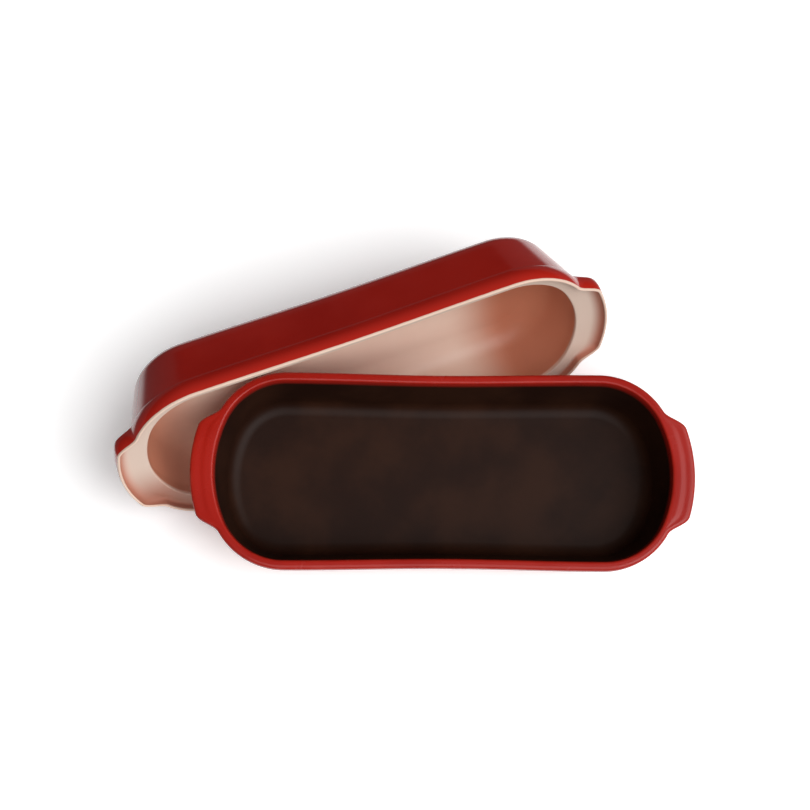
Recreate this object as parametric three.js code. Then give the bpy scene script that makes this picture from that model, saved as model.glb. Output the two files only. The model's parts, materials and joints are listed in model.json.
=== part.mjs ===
// A long covered loaf baker in glazed stoneware, with its lid off. The lid lies on one long
// side with its opening to the front, and the base leans on the lid's lower edge.
// Millimetres, +Z up. The pair stands on z = 0 and is centred on the origin.
import * as THREE from 'three';
import { LoftGeometry } from 'three/addons/geometries/LoftGeometry.js';
import { mergeGeometries, mergeVertices } from 'three/addons/utils/BufferGeometryUtils.js';

const DEG = Math.PI / 180;

// Outline of the base's rim from above, without its handles
const RIM_LENGTH = 366;
const RIM_WIDTH = 152.7;
const CORNER_RADIUS = 57.8;
const END_RADIUS = 103.7;
const SIDE_BOW = 1.6; // how far each long side curves in at its middle

// Handles, which are tabs on both ends of the base's rim and of the lid's skirt
const HANDLE_REACH = 10.9;
const HANDLE_WIDTH = 79; // at half of the reach
const HANDLE_BLEND = 17; // width over which a tab rises to its full reach

// Base, in section
const BASE_HEIGHT = 54.4;
const BASE_DRAFT = 12 * DEG;
const BASE_WALL = 6.5;
const BASE_FLOOR = 7;
const BASE_EDGE_RADIUS = 18;
const RIM_BAND = 10;
const RIM_STEP = 1.8;
const RIM_THICKNESS = 7;
const BAND_ROUND = 0.9;
const RIM_OUTER_ROUND = 2.6;
const RIM_INNER_ROUND = 1.8;
const HANDLE_THINNING = 2; // how much thinner than the band a base handle is at its tip

// Lid, in section
const LID_HEIGHT = 67.5;
const LID_DRAFT = 11.4 * DEG;
const LID_WALL = 7;
const LID_CROWN = 7;
const LID_EDGE_RADIUS = 18;
const LID_BAND = 14.9;
const LID_BAND_DRAFT = 8 * DEG;
const LID_STEP = 2.2; // how far the wall stands inside the rim's outline at the band
const SKIRT_DEPTH = 6.7;
const SKIRT_THICKNESS = 3;
const SKIRT_CLEARANCE = 1; // between the skirt and the base's rim when the lid is on
const SKIRT_ROUND = 1.3;
const SEAT_WIDTH = 9.7; // from the rim's outline in to the cavity
const SEAT_ROUND = 2;

// Where the two lie: the lid is turned and set off from the base's centre
const LID_YAW = 20 * DEG;
const LID_SHIFT_ALONG = -35.9; // along the lid's length
const LID_SETBACK = 40.6; // from the base's centre back to the lid's lower edge
const LEAN_GAP = 0.3; // between the base's foot and the lid's edge under it

// How finely curves are cut
const SIDE_STEPS = 4;
const CORNER_STEPS = 8;
const BLEND_STEPS = 6;
const TAB_STEPS = 3;
const EDGE_STEPS = 5;
const ROUND_STEPS = 2;

const RED_GLAZE = 0x9d231d;

// The outline: a straight side, a corner arc and a wide end arc, each tangent to the next
const halfLength = RIM_LENGTH / 2;
const halfWidth = RIM_WIDTH / 2;
const cornerY = halfWidth - CORNER_RADIUS;
const endX = halfLength - END_RADIUS;
const sideEnd = endX + Math.sqrt((END_RADIUS - CORNER_RADIUS) ** 2 - cornerY ** 2);
const meetAngle = Math.atan2(cornerY, sideEnd - endX);
const tabOuter = HANDLE_WIDTH / 2 + HANDLE_BLEND / 2;
const tabInner = HANDLE_WIDTH / 2 - HANDLE_BLEND / 2;

// Direction of the outline's normal at a distance y from the long axis
function angleAt(y) {
  if (y > END_RADIUS * Math.sin(meetAngle)) return Math.asin((y - cornerY) / CORNER_RADIUS);
  return Math.asin(y / END_RADIUS);
}

// A station is a point of the outline with its normal, its share of handle and its share of bow
function sideStation(x) {
  return { x, y: halfWidth, nx: 0, ny: 1, tab: 0, bow: (1 + Math.cos(Math.PI * x / sideEnd)) / 2 };
}

function arcStation(angle) {
  const onCorner = angle > meetAngle;
  const radius = onCorner ? CORNER_RADIUS : END_RADIUS;
  const nx = Math.cos(angle);
  const ny = Math.sin(angle);
  const x = (onCorner ? sideEnd : endX) + radius * nx;
  const y = (onCorner ? cornerY : 0) + radius * ny;
  const tab = 1 - THREE.MathUtils.smoothstep(y, tabInner, tabOuter);
  return { x, y, nx, ny, tab, bow: 0 };
}

function steps(from, to, count) {
  return Array.from({ length: count }, (_, i) => from + (to - from) * i / count);
}

// Stations from the tip of the +X end round to the middle of the +Y side
function quarterStations() {
  const angles = [
    ...steps(0, angleAt(tabInner), TAB_STEPS),
    ...steps(angleAt(tabInner), angleAt(tabOuter), BLEND_STEPS),
    ...steps(angleAt(tabOuter), Math.PI / 2, CORNER_STEPS),
  ];
  return [...angles.map(arcStation), ...steps(sideEnd, 0, SIDE_STEPS).map(sideStation), sideStation(0)];
}

function mirrored(station, sx, sy) {
  return { ...station, x: sx * station.x, y: sy * station.y, nx: sx * station.nx, ny: sy * station.ny };
}

// All stations, counter-clockwise from above
function allStations() {
  const quarter = quarterStations();
  const mirror = (list, sx, sy) => list.map((station) => mirrored(station, sx, sy));
  return [
    ...quarter,
    ...mirror(quarter.slice(0, -1).reverse(), -1, 1),
    ...mirror(quarter.slice(1), -1, -1),
    ...mirror(quarter.slice(1, -1).reverse(), 1, -1),
  ];
}

const stations = allStations();

// One level of a piece: the outline moved out by offset, with or without the handles
function ring(offset, z, tabShare = 0, tabLift = 0) {
  return stations.map((s) => {
    const out = offset + HANDLE_REACH * s.tab * tabShare - SIDE_BOW * s.bow;
    return new THREE.Vector3(s.x + s.nx * out, s.y + s.ny * out, z + tabLift * s.tab);
  });
}

// Points on an arc, given as [offset, z] pairs; angles are measured from straight out to up
function arc(offset, z, radius, from, to, count) {
  const angles = [...steps(from, to, count), to];
  return angles.map((t) => [offset + radius * Math.cos(t), z + radius * Math.sin(t)]);
}

function levels(points, tabShare = 0, tabLift = 0) {
  return points.map(([offset, z]) => ring(offset, z, tabShare, tabLift));
}

// A flat fan that closes the first or the last level
function fan(points, last) {
  const centre = points.reduce((sum, p) => sum.add(p), new THREE.Vector3()).divideScalar(points.length);
  const corners = points.flatMap((p, i) => {
    const next = points[(i + 1) % points.length];
    return last ? [centre, p, next] : [centre, next, p];
  });
  return new THREE.BufferGeometry().setFromPoints(corners);
}

function bareGeometry(geometry) {
  const bare = geometry.toNonIndexed();
  bare.deleteAttribute('uv');
  bare.deleteAttribute('normal');
  return bare;
}

// A closed solid through all the levels, from the first face to the last
function solidThrough(rings) {
  const skin = bareGeometry(new LoftGeometry(rings, { closed: true }));
  const closed = mergeVertices(mergeGeometries([skin, fan(rings[0], false), fan(rings.at(-1), true)]));
  closed.computeVertexNormals();
  return closed;
}

function glazedMesh(name, geometry) {
  const material = new THREE.MeshStandardMaterial({ color: RED_GLAZE, roughness: 0.25, metalness: 0 });
  const mesh = new THREE.Mesh(geometry, material);
  mesh.name = name;
  return mesh;
}

// Base section: the outer wall rises from the foot to the band, and the inner wall runs beside it
const bandBottom = BASE_HEIGHT - RIM_BAND;
const baseOuter = (z) => -RIM_STEP - (bandBottom - z) * Math.tan(BASE_DRAFT);
const baseInner = (z) => baseOuter(z) - BASE_WALL / Math.cos(BASE_DRAFT);
const footEdge = baseOuter(BASE_EDGE_RADIUS) - BASE_EDGE_RADIUS / Math.cos(BASE_DRAFT);
const troughRadius = BASE_EDGE_RADIUS - BASE_WALL;
const troughEdge = baseInner(BASE_FLOOR + troughRadius) - troughRadius / Math.cos(BASE_DRAFT);

function makeBase() {
  const down = -Math.PI / 2;
  const up = Math.PI / 2;
  const bandLevel = bandBottom + BAND_ROUND;
  const outerTop = BASE_HEIGHT - RIM_OUTER_ROUND;
  const innerTop = BASE_HEIGHT - RIM_INNER_ROUND;
  return glazedMesh('base', solidThrough([
    ...levels(arc(footEdge, BASE_EDGE_RADIUS, BASE_EDGE_RADIUS, down, -BASE_DRAFT, EDGE_STEPS)),
    ring(baseOuter(bandBottom), bandBottom),
    ...levels(arc(-BAND_ROUND, bandLevel, BAND_ROUND, down, 0, ROUND_STEPS), 1, HANDLE_THINNING),
    ...levels(arc(-RIM_OUTER_ROUND, outerTop, RIM_OUTER_ROUND, 0, up, ROUND_STEPS), 1),
    ...levels(arc(RIM_INNER_ROUND - RIM_THICKNESS, innerTop, RIM_INNER_ROUND, up, Math.PI, ROUND_STEPS)),
    ring(baseInner(bandBottom), bandBottom),
    ...levels(arc(troughEdge, BASE_FLOOR + troughRadius, troughRadius, -BASE_DRAFT, down, EDGE_STEPS)),
  ]));
}

// Lid section, with z counted from the skirt's lip up to the crown
const skirtIn = SKIRT_CLEARANCE;
const skirtOut = skirtIn + SKIRT_THICKNESS;
const bandTop = skirtOut - LID_BAND * Math.tan(LID_BAND_DRAFT);
const lidOuter = (z) => -LID_STEP - (z - LID_BAND) * Math.tan(LID_DRAFT);
const lidInner = (z) => lidOuter(z) - LID_WALL / Math.cos(LID_DRAFT);
const crownLevel = LID_HEIGHT - LID_EDGE_RADIUS;
const crownEdge = lidOuter(crownLevel) - LID_EDGE_RADIUS / Math.cos(LID_DRAFT);
const cavityRadius = LID_EDGE_RADIUS - LID_WALL;
const cavityLevel = LID_HEIGHT - LID_CROWN - cavityRadius;
const cavityEdge = lidInner(cavityLevel) - cavityRadius / Math.cos(LID_DRAFT);

function makeLid() {
  const down = -Math.PI / 2;
  const up = Math.PI / 2;
  const lipIn = skirtIn + SKIRT_ROUND;
  const lipOut = skirtOut - SKIRT_ROUND;
  const seatEdge = SEAT_ROUND - SEAT_WIDTH;
  return glazedMesh('lid', solidThrough([
    ...levels(arc(cavityEdge, cavityLevel, cavityRadius, up, LID_DRAFT, EDGE_STEPS)),
    ring(lidInner(LID_BAND), LID_BAND),
    ...levels(arc(seatEdge, SKIRT_DEPTH + SEAT_ROUND, SEAT_ROUND, Math.PI, 3 * up, ROUND_STEPS)),
    ring(skirtIn, SKIRT_DEPTH, 1),
    ...levels(arc(lipIn, SKIRT_ROUND, SKIRT_ROUND, Math.PI, 3 * up, ROUND_STEPS), 1),
    ...levels(arc(lipOut, SKIRT_ROUND, SKIRT_ROUND, down, 0, ROUND_STEPS), 1),
    ...levels(arc(bandTop - SKIRT_ROUND, LID_BAND - SKIRT_ROUND, SKIRT_ROUND, 0, up, ROUND_STEPS), 1),
    ring(lidOuter(LID_BAND), LID_BAND),
    ...levels(arc(crownEdge, crownLevel, LID_EDGE_RADIUS, LID_DRAFT, up, EDGE_STEPS)),
  ]));
}

// The lid's roll on its side: its band's upper edge and its crown's round both touch the floor
const lipCentre = { w: halfWidth + skirtOut - SKIRT_ROUND, z: SKIRT_ROUND };
const bandCentre = { w: halfWidth + bandTop - SKIRT_ROUND, z: LID_BAND - SKIRT_ROUND };
const crownCentre = { w: halfWidth + crownEdge, z: crownLevel };
const centreRise = crownCentre.z - bandCentre.z;
const centreGap = Math.hypot(bandCentre.w - crownCentre.w, centreRise);
const lidRoll = Math.atan2(bandCentre.w - crownCentre.w, centreRise)
  - Math.asin((LID_EDGE_RADIUS - SKIRT_ROUND) / centreGap);
const axisHeight = bandCentre.w * Math.cos(lidRoll) + bandCentre.z * Math.sin(lidRoll) + SKIRT_ROUND;

// Highest point of the lid's lower edge: the round of its seat, at the middle of the bowed side
const seatCentre = { w: halfWidth - SEAT_WIDTH + SEAT_ROUND - SIDE_BOW, z: SKIRT_DEPTH + SEAT_ROUND };
const seatDrop = seatCentre.w * Math.cos(lidRoll) + seatCentre.z * Math.sin(lidRoll);
const propHeight = axisHeight - seatDrop + SEAT_ROUND;
const lipBack = -lipCentre.w * Math.sin(lidRoll) + lipCentre.z * Math.cos(lidRoll);
const seatBack = -seatCentre.w * Math.sin(lidRoll) + seatCentre.z * Math.cos(lidRoll);
const propSetback = LID_SETBACK + seatBack - lipBack;

// The base tilts about the lid's long direction, on the far corner of its foot
const footReach = sideEnd * Math.sin(LID_YAW) + cornerY * Math.cos(LID_YAW) + CORNER_RADIUS + footEdge;
const baseTilt = Math.atan2(propHeight + LEAN_GAP, propSetback + footReach);

function placedBase() {
  const tilted = new THREE.Group();
  tilted.rotation.x = baseTilt;
  tilted.position.z = footReach * Math.sin(baseTilt);
  const base = makeBase();
  base.rotation.z = -LID_YAW;
  tilted.add(base);
  return tilted;
}

function placedLid() {
  const lid = makeLid();
  lid.rotation.x = -Math.PI / 2 - lidRoll;
  lid.position.set(LID_SHIFT_ALONG, LID_SETBACK - lipBack, axisHeight);
  return lid;
}

const pair = new THREE.Group();
pair.rotation.z = LID_YAW;
pair.add(placedBase(), placedLid());

const baker = new THREE.Group();
baker.name = 'covered_loaf_baker';
baker.add(pair);
baker.updateMatrixWorld(true);
const box = new THREE.Box3().setFromObject(baker, true);
const middle = box.getCenter(new THREE.Vector3());
pair.position.set(-middle.x, -middle.y, -box.min.z);

export default baker;
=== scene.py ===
"""A long covered loaf baker in red glazed stoneware, with its lid off.

The two pieces follow the same outline and sections as the solids, with finer curves and softer
edges, and stand where the frame puts them. Metres, +Z up.
"""
import json
import math
from collections import namedtuple

import bpy
import numpy as np
from mathutils import Matrix, Quaternion, Vector


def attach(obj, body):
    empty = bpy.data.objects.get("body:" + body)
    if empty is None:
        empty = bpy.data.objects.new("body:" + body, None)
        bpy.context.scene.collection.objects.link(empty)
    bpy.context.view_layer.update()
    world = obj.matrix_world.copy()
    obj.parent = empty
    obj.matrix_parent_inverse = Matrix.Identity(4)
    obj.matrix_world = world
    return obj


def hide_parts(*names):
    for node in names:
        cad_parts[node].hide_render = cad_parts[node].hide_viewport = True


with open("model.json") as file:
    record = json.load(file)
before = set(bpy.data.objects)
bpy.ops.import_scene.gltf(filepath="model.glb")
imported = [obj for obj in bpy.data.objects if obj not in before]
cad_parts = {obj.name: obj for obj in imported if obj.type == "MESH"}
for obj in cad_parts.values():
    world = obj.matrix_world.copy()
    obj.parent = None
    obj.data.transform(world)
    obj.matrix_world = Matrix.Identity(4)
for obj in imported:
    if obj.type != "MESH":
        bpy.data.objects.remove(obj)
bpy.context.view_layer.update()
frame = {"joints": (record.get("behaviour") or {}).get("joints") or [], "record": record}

MM = 0.001

# Outline of the base's rim from above, without its handles
RIM_LENGTH = 366 * MM
RIM_WIDTH = 152.7 * MM
CORNER_RADIUS = 57.8 * MM
END_RADIUS = 103.7 * MM
SIDE_BOW = 1.6 * MM  # how far the long sides draw in at their middle

# Handles on both ends of the base and the lid
HANDLE_REACH = 10.9 * MM
HANDLE_WIDTH = 79 * MM
HANDLE_BLEND = 17 * MM

# Base, in section
BASE_HEIGHT = 54.4 * MM
BASE_DRAFT = math.radians(12)
BASE_WALL = 6.5 * MM
BASE_FLOOR = 7 * MM
BASE_EDGE_RADIUS = 18 * MM
RIM_BAND = 10 * MM
RIM_STEP = 1.8 * MM
RIM_THICKNESS = 7 * MM
RIM_OUTER_ROUND = 2.8 * MM
RIM_INNER_ROUND = 1.8 * MM
BAND_ROUND = 0.9 * MM
BAND_FILLET = 1.2 * MM
FILLET_OUT = 0.3   # where the fillet's middle lies out from the wall, as a share of the fillet
FILLET_DROP = 0.2  # and how far down from the band
HANDLE_THINNING = 2 * MM
HANDLE_DIP = 0.6 * MM  # how far a base handle's top lies below the rim
# Levels over that top, as shares of the handle's reach, and the shares between which it goes down
HANDLE_TOP_SHARES = (0.0, 0.12, 0.24, 0.32, 0.4, 0.48, 0.56, 0.64, 0.74, 0.88)
HANDLE_DIP_SPAN = (0.34, 0.64)
OUTER_WEAR = 0.5  # how thin the glaze runs on the rim's outer edges, and on its inner edge
INNER_WEAR = 0.6

# The base leans a little more than its solid, about its foot's front, clear of the lid's fuller edge
BASE_LEAN = math.radians(0.25)
FOOT_REACH = 92 * MM  # from the middle of the foot to where its front touches the surface

# Lid, in section, with z counted from its lip up to its crown
LID_HEIGHT = 67.5 * MM
LID_CROWN = 7 * MM
LID_EDGE_RADIUS = 18 * MM
CROWN_INSET = 27.55 * MM  # from the rim's outline in to the middle of the crown's round edge
LID_BAND = 14.9 * MM
BAND_RADIUS = 22 * MM     # the band's round swell, which is fullest at the level below
BAND_LEVEL = 6.5 * MM
BAND_STEP = 0.15 * MM     # how far the band stands out from the wall above it
LEDGE_ROUND = 1.7 * MM    # upper edge of the lid's handles
CAVITY_INSET = 9.34 * MM  # from the rim's outline in to the cavity, at the band's upper edge
CAVITY_DRAFT = math.radians(11.4)
CAVITY_EDGE_RADIUS = 22 * MM
SKIRT_DEPTH = 6.7 * MM
SKIRT_THICKNESS = 2.8 * MM
SKIRT_CLEARANCE = 0.7 * MM
LIP_ROUND = 0.8 * MM
LIP_WEAR = 1  # how thin the glaze runs on the lip's outer edge
SKIRT_FILLET = 2.4 * MM
HANDLE_FILLET_WIDTH = 9 * MM  # the same fillet at the handles
HANDLE_FILLET_DEPTH = 5.7 * MM
SEAT_WIDTH = 10.2 * MM
SEAT_ROUND = 1.2 * MM

# The hollow from a lid handle's ledge up to the wall: rise, as a share of the ledge's round, share of
# the handle's reach, and share of the step
LEDGE_FILLET = [(0.1, 0.4, 0.2), (0.3, 0.15, 0.6), (0.7, 0.04, 1.0), (1.2, 0.0, 1.0)]

# How finely curves and straight stretches are cut
SIDE_STEPS = 20
CORNER_STEPS = 30
BLEND_STEPS = 22
TAB_STEPS = 10
EDGE_STEPS = 14
ROUND_STEPS = 6
WALL_STEPS = 6
NECK_STEPS = 4
LID_WALL_STEPS = 8
CAP_SHARES = (0.86, 0.6, 0.3)  # rings in a flat face, as shares of its outline

# Directions in a section, counted from straight out
DOWN = -math.pi / 2
UP = math.pi / 2
LEFT = math.pi
DOWN_AGAIN = 3 * UP  # the same way as DOWN, reached past LEFT

X_AXIS = Vector((1, 0, 0))
Y_AXIS = Vector((0, 1, 0))
Z_AXIS = Vector((0, 0, 1))


# Outline

half_width = RIM_WIDTH / 2
corner_y = half_width - CORNER_RADIUS
end_x = RIM_LENGTH / 2 - END_RADIUS
side_end = end_x + math.sqrt((END_RADIUS - CORNER_RADIUS) ** 2 - corner_y ** 2)
meet_angle = math.atan2(corner_y, side_end - end_x)
tab_outer = (HANDLE_WIDTH + HANDLE_BLEND) / 2
tab_inner = (HANDLE_WIDTH - HANDLE_BLEND) / 2


def smoothstep(value, low, high):
    share = np.clip((value - low) / (high - low), 0, 1)
    return share * share * (3 - 2 * share)


def angle_at(y):
    """Direction of the outline's normal at a distance y from the long axis."""
    if y > END_RADIUS * math.sin(meet_angle):
        return math.asin((y - corner_y) / CORNER_RADIUS)
    return math.asin(y / END_RADIUS)


def quarter_stations():
    """Points of the outline from the tip of the +X end round to the middle of the +Y side.

    Columns: x, y, normal x, normal y, share of handle, share of bow.
    """
    stops = [0, angle_at(tab_inner), angle_at(tab_outer), math.pi / 2]
    counts = [TAB_STEPS, BLEND_STEPS, CORNER_STEPS]
    spans = zip(stops, stops[1:], counts)
    angle = np.concatenate([np.linspace(a, b, n, endpoint=False) for a, b, n in spans])
    on_corner = angle > meet_angle
    radius = np.where(on_corner, CORNER_RADIUS, END_RADIUS)
    x = np.where(on_corner, side_end, end_x) + radius * np.cos(angle)
    y = np.where(on_corner, corner_y, 0) + radius * np.sin(angle)
    tab = 1 - smoothstep(y, tab_inner, tab_outer)
    arc_part = np.stack([x, y, np.cos(angle), np.sin(angle), tab, np.zeros_like(x)], 1)
    x = np.linspace(side_end, 0, SIDE_STEPS + 1)
    zero, one = np.zeros_like(x), np.ones_like(x)
    bow = (1 + np.cos(np.pi * x / side_end)) / 2
    side_part = np.stack([x, one * half_width, zero, one, zero, bow], 1)
    return np.concatenate([arc_part, side_part])


def all_stations():
    """The whole outline, counter-clockwise from above."""
    quarter = quarter_stations()

    def mirrored(rows, sx, sy):
        return rows * np.array([sx, sy, sx, sy, 1, 1])

    return np.concatenate([
        quarter,
        mirrored(quarter[-2::-1], -1, 1),
        mirrored(quarter[1:], -1, -1),
        mirrored(quarter[-2:0:-1], 1, -1),
    ])


STATIONS = all_stations()

# One level of a section: offset out from the outline, height, share of the handle's reach,
# rise at the handle, and how much of an edge it is, where glaze runs thin
Level = namedtuple("Level", "offset z tab lift edge", defaults=(0, 0, 0))


def ring(level):
    """The closed line of points that a level makes round the outline."""
    x, y, nx, ny, tab, bow = STATIONS.T
    out = level.offset + HANDLE_REACH * tab * level.tab - SIDE_BOW * bow
    return np.stack([x + nx * out, y + ny * out, level.z + level.lift * tab], 1)


def arc(offset, z, radius, start, stop, count, tab=0, lift=0, edge=0):
    """Levels on a round; angles run from straight out, 0, to up."""
    return [
        Level(offset + radius * math.cos(t), z + radius * math.sin(t), tab, lift, edge)
        for t in np.linspace(start, stop, count + 1)
    ]


def straight(start, stop, count):
    """Levels along a straight stretch of a section, between two points of offset and height."""
    return [Level(*point) for point in np.linspace(start, stop, count + 1)]


def all_levels(section):
    return [level for stretch in section.values() for level in stretch]


def run_along(levels):
    """Distance along a section from its first level to each level."""
    points = np.array([(level.offset, level.z) for level in levels])
    lengths = np.linalg.norm(np.diff(points, axis=0), axis=1)
    return np.concatenate([[0], np.cumsum(lengths)])


def run_to(section, name):
    """Distance along a section from its start to the first level of a named stretch."""
    stretches = list(section)
    before = stretches[:stretches.index(name)]
    count = sum(len(section[stretch]) for stretch in before)
    return float(run_along(all_levels(section))[count])


# Base section

band_bottom = BASE_HEIGHT - RIM_BAND


def base_outer(z):
    """A point of the wall's outside, as offset and height."""
    return -RIM_STEP - (band_bottom - z) * math.tan(BASE_DRAFT), z


def base_inner(z):
    """A point of the wall's inside, as offset and height."""
    return base_outer(z)[0] - BASE_WALL / math.cos(BASE_DRAFT), z


def handle_top_levels():
    """The rim's top, from its inner edge out over the handle, which lies a little lower."""
    start = RIM_INNER_ROUND - RIM_THICKNESS
    stop = -RIM_OUTER_ROUND
    levels = []
    for i, share in enumerate(HANDLE_TOP_SHARES):
        offset = start + (stop - start) * i / len(HANDLE_TOP_SHARES)
        dip = -HANDLE_DIP * float(smoothstep(share, *HANDLE_DIP_SPAN))
        levels.append(Level(offset, BASE_HEIGHT, share, dip))
    return levels


def base_section():
    """Stretches from the foot up the outside, over the rim and down into the trough."""
    foot_edge = base_outer(BASE_EDGE_RADIUS)[0] - BASE_EDGE_RADIUS / math.cos(BASE_DRAFT)
    trough_radius = BASE_EDGE_RADIUS - BASE_WALL
    trough_level = BASE_FLOOR + trough_radius
    trough_edge = base_inner(trough_level)[0] - trough_radius / math.cos(BASE_DRAFT)
    outer_top = BASE_HEIGHT - RIM_OUTER_ROUND
    inner_top = BASE_HEIGHT - RIM_INNER_ROUND
    inner_edge = RIM_INNER_ROUND - RIM_THICKNESS
    wall_top = base_outer(band_bottom - BAND_FILLET)
    fillet_offset = base_outer(band_bottom)[0] + BAND_FILLET * FILLET_OUT
    fillet_level = band_bottom - BAND_FILLET * FILLET_DROP
    return {
        "foot": arc(foot_edge, BASE_EDGE_RADIUS, BASE_EDGE_RADIUS, DOWN, -BASE_DRAFT, EDGE_STEPS),
        "wall": straight(base_outer(BASE_EDGE_RADIUS), wall_top, WALL_STEPS)[1:],
        "fillet": [Level(fillet_offset, fillet_level)],
        "band": arc(
            -BAND_ROUND, band_bottom + BAND_ROUND, BAND_ROUND, DOWN, 0, ROUND_STEPS,
            tab=1, lift=HANDLE_THINNING, edge=OUTER_WEAR,
        ),
        "rim": arc(
            -RIM_OUTER_ROUND, outer_top, RIM_OUTER_ROUND, 0, UP, ROUND_STEPS,
            tab=1, lift=-HANDLE_DIP, edge=OUTER_WEAR,
        )[:-1],
        "top": handle_top_levels()[::-1],
        "edge": arc(inner_edge, inner_top, RIM_INNER_ROUND, UP, LEFT, ROUND_STEPS, edge=INNER_WEAR)[1:],
        "neck": straight((-RIM_THICKNESS, inner_top), base_inner(band_bottom), NECK_STEPS)[1:],
        "side": straight(base_inner(band_bottom), base_inner(trough_level), WALL_STEPS)[1:-1],
        "trough": arc(trough_edge, trough_level, trough_radius, -BASE_DRAFT, DOWN, EDGE_STEPS),
    }


# Lid section

skirt_in = SKIRT_CLEARANCE
skirt_out = skirt_in + SKIRT_THICKNESS


def cavity_wall(z):
    """A point of the cavity's wall, as offset and height."""
    return -CAVITY_INSET - (z - LID_BAND) * math.tan(CAVITY_DRAFT), z


def groove_levels():
    """The fillet between seat and skirt, which is wider at the handles."""
    widening = HANDLE_FILLET_WIDTH - SKIRT_FILLET
    deepening = HANDLE_FILLET_DEPTH - SKIRT_FILLET
    levels = []
    for t in np.linspace(UP, 0, EDGE_STEPS + 1):
        offset = skirt_in - SKIRT_FILLET * (1 - math.cos(t))
        z = SKIRT_DEPTH - SKIRT_FILLET * (1 - math.sin(t))
        reach = 1 - widening * (1 - math.cos(t)) / HANDLE_REACH
        levels.append(Level(offset, z, reach, -deepening * (1 - math.sin(t))))
    return levels


def lid_outside():
    """Band, step, wall and crown, and the offset where the band meets the lip.

    Band and crown are arcs, and the wall lies on the straight line that touches both.
    """
    band_centre = skirt_out - BAND_RADIUS
    crown_level = LID_HEIGHT - LID_EDGE_RADIUS
    inset = band_centre + CROWN_INSET
    rise = crown_level - BAND_LEVEL
    touch_angle = math.acos((LID_EDGE_RADIUS - BAND_RADIUS) / math.hypot(inset, rise))
    draft = touch_angle - math.atan2(rise, inset)
    lip_angle = math.asin((LIP_ROUND - BAND_LEVEL) / BAND_RADIUS)
    swell = arc(band_centre, BAND_LEVEL, BAND_RADIUS, lip_angle, draft, EDGE_STEPS, tab=1)
    crown = arc(-CROWN_INSET, crown_level, LID_EDGE_RADIUS, draft, UP, EDGE_STEPS)

    def wall_at(z):
        return swell[-1].offset - (z - swell[-1].z) * math.tan(draft)

    ledge = []
    for t in np.linspace(0, UP, ROUND_STEPS + 1):
        z = LID_BAND - LEDGE_ROUND * (1 - math.sin(t))
        ledge.append(Level(wall_at(z), z, 1 - LEDGE_ROUND * (1 - math.cos(t)) / HANDLE_REACH))
    step = []
    for height, reach, depth in LEDGE_FILLET:
        z = LID_BAND + height * LEDGE_ROUND
        step.append(Level(wall_at(z) - depth * BAND_STEP, z, reach))
    wall = straight(step[-1][:2], crown[0][:2], LID_WALL_STEPS)[1:-1]
    return {"band": swell[1:] + ledge, "step": step, "wall": wall, "crown": crown}, swell[0].offset


def lid_section():
    """Stretches from the cavity's top down to the lip and up the outside to the crown."""
    cavity_level = LID_HEIGHT - LID_CROWN - CAVITY_EDGE_RADIUS
    cavity_edge = cavity_wall(cavity_level)[0] - CAVITY_EDGE_RADIUS / math.cos(CAVITY_DRAFT)
    seat_edge = SEAT_ROUND - SEAT_WIDTH
    seat_top = SKIRT_DEPTH + SEAT_ROUND
    outside, lip_edge = lid_outside()
    lip_in = skirt_in + LIP_ROUND
    lip_out = lip_edge - LIP_ROUND
    return {
        "cavity": arc(cavity_edge, cavity_level, CAVITY_EDGE_RADIUS, UP, CAVITY_DRAFT, EDGE_STEPS),
        "inside": straight(cavity_wall(cavity_level), cavity_wall(LID_BAND), WALL_STEPS)[1:],
        "seat": arc(seat_edge, seat_top, SEAT_ROUND, LEFT, DOWN_AGAIN, ROUND_STEPS),
        "groove": groove_levels(),
        "lip": arc(lip_in, LIP_ROUND, LIP_ROUND, LEFT, DOWN_AGAIN, ROUND_STEPS, tab=1),
        "lip_out": arc(lip_out, LIP_ROUND, LIP_ROUND, DOWN, 0, ROUND_STEPS, tab=1, edge=LIP_WEAR),
        **outside,
    }


# Placing, from the flat faces and the slide that the frame states

mounts = {mount["name"]: mount for mount in frame["record"]["mounts"]}
slide = Vector(frame["joints"][0]["axis"]).normalized()
long_way = slide.cross(Z_AXIS)  # the lid's length, which is also the base's tilt axis


def base_place():
    """Rotation columns and origin of the base: level, then tilted about the lid's length.

    It leans back about the front of its foot.
    """
    up = Vector(mounts["trough_floor"]["axis"]).normalized()
    floor_point = Vector(mounts["trough_floor"]["pos_m"])
    lean = Quaternion(long_way, BASE_LEAN)
    tilt = lean @ Z_AXIS.rotation_difference(up)
    columns = [tilt @ axis for axis in (X_AXIS, Y_AXIS, Z_AXIS)]
    foot = floor_point - up * BASE_FLOOR
    front = foot - slide * FOOT_REACH
    return columns, front + lean @ (foot - front)


def lid_place():
    """Rotation columns and origin of the lid, which lies on one long side."""
    up = Vector(mounts["lid_crown"]["axis"]).normalized()
    crown_point = Vector(mounts["lid_crown"]["pos_m"])
    return [long_way, up.cross(long_way), up], crown_point - up * LID_HEIGHT


# Meshes

def add_object(name, data):
    made = bpy.data.objects.new(name, data)
    bpy.context.scene.collection.objects.link(made)
    return made


def cap_rings(edge_ring):
    """Rings from a flat face's edge in to its middle, and the middle."""
    centre = edge_ring.mean(0)
    return [centre + (edge_ring - centre) * share for share in CAP_SHARES], centre


def skin_faces(row_count, around):
    """Faces between rows of points, and fans to the two middle points that come after them."""
    faces = []
    for row in range(row_count - 1):
        low = row * around
        high = low + around
        for i in range(around):
            j = (i + 1) % around
            faces.append((low + i, low + j, high + j, high + i))
    last_row = (row_count - 1) * around
    first_middle = row_count * around
    last_middle = first_middle + 1
    for i in range(around):
        j = (i + 1) % around
        faces.append((first_middle, j, i))
        faces.append((last_middle, last_row + i, last_row + j))
    return faces


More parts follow.
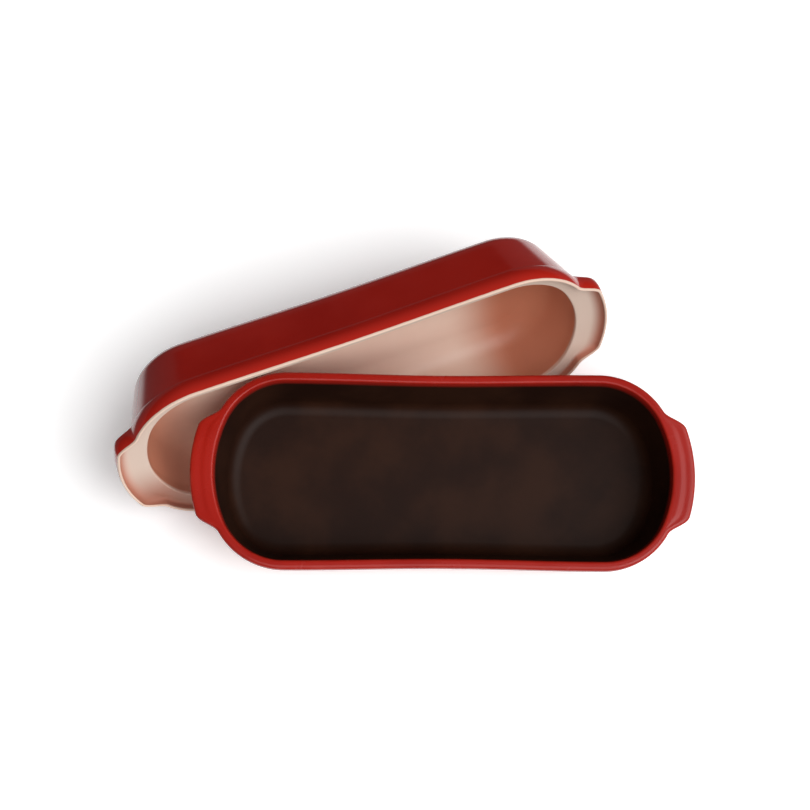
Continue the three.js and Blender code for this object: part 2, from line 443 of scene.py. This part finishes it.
def per_point(values):
    """A value for each point of a skin, from one for each level; flat faces take their edge's."""
    rows = np.pad(values, len(CAP_SHARES), mode="edge")
    return np.append(np.repeat(rows, len(STATIONS)), [values[0], values[-1]])


def add_attribute(mesh, name, kind, field, values):
    attribute = mesh.attributes.new(name, kind, "POINT")
    attribute.data.foreach_set(field, np.asarray(values, np.float32).ravel())


def shell(name, section, place):
    """A closed skin through all levels of a section, with both ends closed by flat faces."""
    levels = all_levels(section)
    rings = [ring(level) for level in levels]
    first_rings, first_middle = cap_rings(rings[0])
    last_rings, last_middle = cap_rings(rings[-1])
    rows = first_rings[::-1] + rings + last_rings
    local = np.concatenate(rows + [first_middle[None], last_middle[None]])
    columns, origin = place
    world = local @ np.array([list(column) for column in columns]) + np.array(origin)
    faces = skin_faces(len(rows), len(STATIONS))
    mesh = bpy.data.meshes.new(name)
    mesh.from_pydata(world.tolist(), [], faces)
    mesh.polygons.foreach_set("use_smooth", np.ones(len(faces), bool))
    edge = np.array([level.edge for level in levels], float)
    add_attribute(mesh, "local", "FLOAT_VECTOR", "vector", local)
    add_attribute(mesh, "run", "FLOAT", "value", per_point(run_along(levels)))
    add_attribute(mesh, "edge", "FLOAT", "value", per_point(edge))
    mesh.update()
    return add_object(name, mesh)


# Materials

RED = (0.37, 0.0125, 0.0065, 1)
RED_DEEP = (0.32, 0.0095, 0.0050, 1)
RED_THIN = (0.42, 0.030, 0.016, 1)
# painted light: the lid's band is brighter red beside the lip
RED_PAINTED_LIT = (0.455, 0.016, 0.0082, 1)
DARK = (0.016, 0.0055, 0.003, 1)
DARK_WARM = (0.028, 0.010, 0.005, 1)
CREAM = (0.80, 0.60, 0.485, 1)
CREAM_WARM = (0.75, 0.54, 0.43, 1)
SEAT_CREAM = (0.67, 0.52, 0.43, 1)
# painted shadow of the base, low on the lid's left seat
SEAT_PAINTED_SHADOW = (0.40, 0.17, 0.115, 1)
# painted shade: brown inside the lid's ends, lighter towards the far right end
END_PAINTED_SHADE = (0.52, 0.195, 0.113, 1)
END_PAINTED_SHADE_LIGHT = (0.70, 0.27, 0.155, 1)
# painted shade in the groove at the lid's ends, deeper low on the left
GROOVE_PAINTED_SHADE = (0.54, 0.21, 0.14, 1)
GROOVE_PAINTED_SHADE_DEEP = (0.38, 0.15, 0.10, 1)
CLAY = (0.55, 0.42, 0.31, 1)
CLAY_SPECK = (0.30, 0.20, 0.14, 1)

# Cloudy patterns: noise scale and detail, and the noise levels between which the pattern comes in
Pattern = namedtuple("Pattern", "scale detail low high")
DRIFT = Pattern(14.0, 3.0, 0.35, 0.7)
THIN_SPOTS = Pattern(90.0, 3.0, 0.3, 0.75)
DARK_CLOUDS = Pattern(20.0, 4.0, 0.35, 0.7)
CREAM_CLOUDS = Pattern(18.0, 3.0, 0.3, 0.75)
CLAY_SPECKS = Pattern(900.0, 3.0, 0.52, 0.68)
SHEEN = Pattern(30.0, 4.0, 0.3, 0.7)
THIN_SHARE = 0.6  # how far the colour goes to the thin red in such spots

# Relief of the glaze: noise scale, height and strength
Relief = namedtuple("Relief", "scale height strength")
WAVES = Relief(45.0, 0.25 * MM, 0.2)
PITS = Relief(260.0, 0.05 * MM, 0.25)

# How the edge of a colour wanders: noise scale and reach
Wander = namedtuple("Wander", "scale reach")
TROUGH_WANDER = Wander(60.0, 1.5 * MM)
LIP_WANDER = Wander(150.0, 0.5 * MM)
FINE_DETAIL = 2.0  # noise detail of relief and wandering edges

GLAZE_IOR = 1.42
BASE_GLOSS = (0.22, 0.28)  # roughness, from and to
LID_GLOSS = (0.07, 0.13)
TROUGH_ROUGHNESS = 0.45
CREAM_ROUGHNESS = 0.4
CLAY_ROUGHNESS = 0.85
LID_SHINE = 0.5
RIM_SHINE = 0.35
TROUGH_SHINE = 0.15

# Where colours change, along a section: lengths of the fades, and offsets from a stretch's start
TROUGH_FADE = 6 * MM
BARE_SPAN = (0.9 * MM, 0.3 * MM)  # heights between which the foot's glaze ends in bare clay
RED_LINE = 2.3 * LIP_ROUND        # from where the lip's outer edge starts to the red
RED_FADE = 0.6 * MM
SEAT_FADE = 2 * MM
GROOVE_FADE = 3 * MM
LIP_FADE = 1 * MM
CAVITY_SPAN = (0.4 * MM, 3 * MM)  # before the seat, where the cavity's painted brown shade starts and is full

# Along the lid, where the painted brown shade on the cream inside starts, where it is full, and where
# that painted shade at the right end is at its lightest
RIGHT_SHADE_SPAN = (84 * MM, 132 * MM)
LEFT_SHADE_SPAN = (100 * MM, 180 * MM)
END_SHADE_EASING = (132 * MM, 172 * MM)
LOW_SHADOW_SPAN = (-8 * MM, 42 * MM)  # across the lid, from there to its lower side the left seat turns brown with a painted shadow


class Nodes:
    """Adds nodes to a material or a world and wires their inputs."""

    def __init__(self, owner):
        owner.use_nodes = True
        self.tree = owner.node_tree
        self.tree.nodes.clear()

    def add(self, kind, inputs=None, **settings):
        node = self.tree.nodes.new(kind)
        for key, value in settings.items():
            setattr(node, key, value)
        for key, value in (inputs or {}).items():
            if isinstance(value, bpy.types.NodeSocket):
                self.tree.links.new(value, node.inputs[key])
            else:
                node.inputs[key].default_value = value
        return node

    def attribute(self, name, output="Fac"):
        return self.add("ShaderNodeAttribute", attribute_name=name).outputs[output]

    def separate(self, vector):
        return self.add("ShaderNodeSeparateXYZ", {0: vector}).outputs

    def math(self, operation, a, b):
        return self.add("ShaderNodeMath", {0: a, 1: b}, operation=operation).outputs[0]

    def ramp(self, value, low, high, out_low=0.0, out_high=1.0):
        inputs = {"Value": value, 1: low, 2: high, 3: out_low, 4: out_high}
        return self.add("ShaderNodeMapRange", inputs, interpolation_type="SMOOTHSTEP").outputs[0]

    def noise(self, vector, scale, detail):
        inputs = {"Vector": vector, "Scale": scale, "Detail": detail}
        return self.add("ShaderNodeTexNoise", inputs).outputs["Fac"]

    def pattern(self, vector, pattern, out_low=0.0, out_high=1.0):
        noise = self.noise(vector, pattern.scale, pattern.detail)
        return self.ramp(noise, pattern.low, pattern.high, out_low, out_high)

    def wandering(self, value, vector, wander):
        noise = self.noise(vector, wander.scale, FINE_DETAIL)
        return self.math("ADD", value, self.math("MULTIPLY", noise, wander.reach))

    def mix(self, share, a, b):
        return self.add("ShaderNodeMix", {0: share, 6: a, 7: b}, data_type="RGBA").outputs[2]

    def bump(self, height, relief, normal=None):
        inputs = {"Height": height, "Distance": relief.height, "Strength": relief.strength}
        if normal is not None:
            inputs["Normal"] = normal
        return self.add("ShaderNodeBump", inputs).outputs[0]

    def finish(self, color, roughness, normal, shine):
        shader = self.add("ShaderNodeBsdfPrincipled", {
            "Base Color": color,
            "Roughness": roughness,
            "Normal": normal,
            "IOR": GLAZE_IOR,
            "Specular IOR Level": shine,
        })
        self.add("ShaderNodeOutputMaterial", {"Surface": shader.outputs[0]})


def red_glaze(nodes, place):
    """Colour of the red glaze: slow drifts in depth, and a thinner coat along edges."""
    color = nodes.mix(nodes.pattern(place, DRIFT), RED_DEEP, RED)
    spots = nodes.math("MULTIPLY", nodes.attribute("edge"), nodes.pattern(place, THIN_SPOTS))
    return nodes.mix(nodes.math("MULTIPLY", spots, THIN_SHARE), color, RED_THIN)


def glaze_normal(nodes, place):
    """The slight waves and pits that a fired glaze keeps."""
    waves = nodes.bump(nodes.noise(place, WAVES.scale, FINE_DETAIL), WAVES)
    return nodes.bump(nodes.noise(place, PITS.scale, FINE_DETAIL), PITS, waves)


def base_material(trough_start):
    """Red outside and on the rim, fading to dark brown inside, with bare clay under the foot."""
    material = bpy.data.materials.new("base_glaze")
    nodes = Nodes(material)
    place = nodes.attribute("local", "Vector")
    run = nodes.wandering(nodes.attribute("run"), place, TROUGH_WANDER)
    inside = nodes.ramp(run, trough_start, trough_start + TROUGH_FADE)
    dark = nodes.mix(nodes.pattern(place, DARK_CLOUDS), DARK, DARK_WARM)
    color = nodes.mix(inside, red_glaze(nodes, place), dark)
    height = nodes.separate(place)[2]
    bare = nodes.ramp(height, *BARE_SPAN)
    color = nodes.mix(bare, color, nodes.mix(nodes.pattern(place, CLAY_SPECKS), CLAY, CLAY_SPECK))
    roughness = nodes.pattern(place, SHEEN, *BASE_GLOSS)
    for share, rough in ((inside, TROUGH_ROUGHNESS), (bare, CLAY_ROUGHNESS)):
        roughness = nodes.math("MAXIMUM", roughness, nodes.math("MULTIPLY", share, rough))
    shine = nodes.ramp(inside, 0.0, 1.0, RIM_SHINE, TROUGH_SHINE)
    nodes.finish(color, roughness, glaze_normal(nodes, place), shine)
    return material


def cream_glaze(nodes, place, run, section):
    """Colour of the lid's inside: cream, with painted brown shade at both ends and on the left seat."""
    seat, groove, lip = [run_to(section, name) for name in ("seat", "groove", "lip")]
    along, across, _ = nodes.separate(place)
    # the ends of the lid's inside, where brown shade is painted
    at_right = nodes.ramp(along, *RIGHT_SHADE_SPAN)
    at_left = nodes.ramp(nodes.math("MULTIPLY", along, -1.0), *LEFT_SHADE_SPAN)
    ends_shade_share = nodes.math("MAXIMUM", at_right, at_left)
    # painted shadow of the base, low on the left end
    left_low_shadow = nodes.math("MULTIPLY", at_left, nodes.ramp(across, *LOW_SHADOW_SPAN))

    cream = nodes.mix(nodes.pattern(place, CREAM_CLOUDS), CREAM, CREAM_WARM)
    past_seat = nodes.ramp(run, seat, seat + SEAT_FADE)
    on_seat = nodes.math("MULTIPLY", past_seat, nodes.ramp(run, lip, lip - SEAT_FADE))
    color = nodes.mix(on_seat, cream, nodes.mix(left_low_shadow, SEAT_CREAM, SEAT_PAINTED_SHADOW))

    # painted shade in the groove at both ends
    past_groove = nodes.ramp(run, groove, groove + GROOVE_FADE)
    in_groove = nodes.math("MULTIPLY", past_groove, nodes.ramp(run, lip, lip - LIP_FADE))
    groove_painted_shade = nodes.mix(left_low_shadow, GROOVE_PAINTED_SHADE, GROOVE_PAINTED_SHADE_DEEP)
    color = nodes.mix(nodes.math("MULTIPLY", ends_shade_share, in_groove), color, groove_painted_shade)

    # painted shade in the cavity at both ends, lightest at the far right
    in_cavity = nodes.ramp(run, seat - CAVITY_SPAN[0], seat - CAVITY_SPAN[1])
    end_painted_shade = nodes.mix(nodes.ramp(along, *END_SHADE_EASING), END_PAINTED_SHADE, END_PAINTED_SHADE_LIGHT)
    return nodes.mix(nodes.math("MULTIPLY", ends_shade_share, in_cavity), color, end_painted_shade)


def lid_material(section):
    """Cream inside and on the lip, red outside, with painted light brightest on the band beside the
    lip.
    """
    material = bpy.data.materials.new("lid_glaze")
    nodes = Nodes(material)
    place = nodes.attribute("local", "Vector")
    run = nodes.attribute("run")
    red_start = run_to(section, "lip_out") + RED_LINE
    # painted light: the band turns brighter red towards the lip
    band_painted_light = nodes.ramp(run, run_to(section, "step"), red_start)
    red = nodes.mix(band_painted_light, red_glaze(nodes, place), RED_PAINTED_LIT)
    outside = nodes.ramp(nodes.wandering(run, place, LIP_WANDER), red_start, red_start + RED_FADE)
    color = nodes.mix(outside, cream_glaze(nodes, place, run, section), red)
    inside = nodes.math("SUBTRACT", 1.0, outside)
    satin = nodes.math("MULTIPLY", inside, CREAM_ROUGHNESS)
    roughness = nodes.math("MAXIMUM", nodes.pattern(place, SHEEN, *LID_GLOSS), satin)
    nodes.finish(color, roughness, glaze_normal(nodes, place), LID_SHINE)
    return material


# Stage

WHITE = (1, 1, 1, 1)
FLOOR_COLOR = (0.55, 0.55, 0.55, 1)
FLOOR_SEEN = (1.38, 1.38, 1.38, 1)  # bright enough that the lit floor reads white
FLOOR_FAR = (0.15, 0.15, 0.15, 1)   # in reflections, past the bright part
FLOOR_REACH = 60.0
SHEET_REACH = 0.44                  # how far the bright part goes in reflections
SHEET_FADE = 0.1
SKY_HORIZON = 0.04
SKY_TOP = 0.136
SKY_SPAN = (0.15, 0.75)             # heights of view between which the sky goes from one to the other

# Broad soft lamps, far off. Azimuth is counted from the front towards the right, width is the angle
# that the lamp fills, and level is the share of full light that it adds on a level surface.
Lamp = namedtuple("Lamp", "name azimuth elevation width level")
LAMPS = (Lamp("key", 80, 43, 58, 0.41), Lamp("fill", 22, 53, 62, 0.45))

# Camera, fitted to the photograph's view
IMAGE_SIZE = 810  # pixels, both ways
SENSOR = 36.0     # the camera's sensor width, in its own millimetres
CAMERA_ELEVATION = math.radians(72.111)
CAMERA_AZIMUTH = math.radians(0.394)
CAMERA_ROLL = math.radians(-0.401)
CAMERA_DISTANCE = 1.147809
CAMERA_FOCAL_PIXELS = 1468.04
AIM_FROM_BASE = Vector((-0.027938, 0.049936, 0))  # from above the base's foot to the point in mid-view


def direction(azimuth, elevation):
    """A unit vector; azimuth is counted from the front towards the right."""
    level = math.cos(elevation)
    return Vector((level * math.sin(azimuth), -level * math.cos(azimuth), math.sin(elevation)))


def floor_material():
    """Pale, and white where the camera or a near reflection sees it."""
    material = bpy.data.materials.new("floor_white")
    nodes = Nodes(material)
    path = nodes.add("ShaderNodeLightPath").outputs
    place = nodes.add("ShaderNodeNewGeometry").outputs["Position"]
    away = nodes.add("ShaderNodeVectorMath", {0: place}, operation="LENGTH").outputs["Value"]
    near = nodes.ramp(away, SHEET_REACH, SHEET_REACH - SHEET_FADE)
    mirrored = nodes.math("MAXIMUM", path["Is Glossy Ray"], path["Is Transmission Ray"])
    color = nodes.mix(nodes.math("MULTIPLY", mirrored, near), FLOOR_COLOR, FLOOR_SEEN)
    far = nodes.math("MULTIPLY", mirrored, nodes.math("SUBTRACT", 1.0, near))
    color = nodes.mix(far, color, FLOOR_FAR)
    color = nodes.mix(path["Is Camera Ray"], color, FLOOR_SEEN)
    paint = nodes.add("ShaderNodeBsdfDiffuse", {"Color": color})
    nodes.add("ShaderNodeOutputMaterial", {"Surface": paint.outputs[0]})
    return material


def make_floor():
    mesh = bpy.data.meshes.new("floor")
    signs = ((-1, -1), (1, -1), (1, 1), (-1, 1))
    corners = [(sx * FLOOR_REACH, sy * FLOOR_REACH, 0) for sx, sy in signs]
    mesh.from_pydata(corners, [], [(0, 1, 2, 3)])
    mesh.materials.append(floor_material())
    add_object("floor", mesh)


def make_world():
    """A dim sky that lights the object, and that is white where the camera sees it past the floor."""
    world = bpy.data.worlds.new("studio")
    bpy.context.scene.world = world
    nodes = Nodes(world)
    height = nodes.separate(nodes.add("ShaderNodeTexCoord").outputs["Generated"])[2]
    light = nodes.ramp(height, *SKY_SPAN, SKY_HORIZON, SKY_TOP)
    path = nodes.add("ShaderNodeLightPath").outputs
    seen = nodes.math("MAXIMUM", path["Is Camera Ray"], path["Is Transmission Ray"])
    strength = nodes.ramp(seen, 0.0, 1.0, light, 1.0)
    sky = nodes.add("ShaderNodeBackground", {"Color": WHITE, "Strength": strength})
    nodes.add("ShaderNodeOutputWorld", {"Surface": sky.outputs[0]})


def make_lamp(lamp):
    elevation = math.radians(lamp.elevation)
    data = bpy.data.lights.new(lamp.name, "SUN")
    data.angle = math.radians(lamp.width)
    data.energy = lamp.level * math.pi / math.sin(elevation)
    towards = direction(math.radians(lamp.azimuth), elevation)
    made = add_object(lamp.name, data)
    made.location = towards
    made.rotation_euler = towards.to_track_quat("Z", "Y").to_euler()


def make_camera(foot):
    data = bpy.data.cameras.new("camera")
    data.sensor_width = SENSOR
    data.lens = SENSOR * CAMERA_FOCAL_PIXELS / IMAGE_SIZE
    camera = add_object("camera", data)
    back = direction(CAMERA_AZIMUTH, CAMERA_ELEVATION)
    right = Vector((math.cos(CAMERA_AZIMUTH), math.sin(CAMERA_AZIMUTH), 0))
    level_view = Matrix((right, back.cross(right), back)).transposed().to_4x4()
    target = Vector((foot.x, foot.y, BASE_HEIGHT)) + AIM_FROM_BASE
    place = Matrix.Translation(target + back * CAMERA_DISTANCE)
    camera.matrix_world = place @ level_view @ Matrix.Rotation(CAMERA_ROLL, 4, "Z")
    bpy.context.scene.camera = camera


# Pieces

def make_base():
    section = base_section()
    piece = shell("base_body", section, base_place())
    piece.data.materials.append(base_material(run_to(section, "neck")))
    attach(piece, "base")
    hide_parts("base")


def make_lid():
    section = lid_section()
    piece = shell("lid_body", section, lid_place())
    piece.data.materials.append(lid_material(section))
    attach(piece, "lid")
    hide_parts("lid")


make_base()
make_lid()
make_floor()
make_world()
for lamp in LAMPS:
    make_lamp(lamp)
make_camera(base_place()[1])
bpy.context.scene.view_settings.view_transform = "Standard"
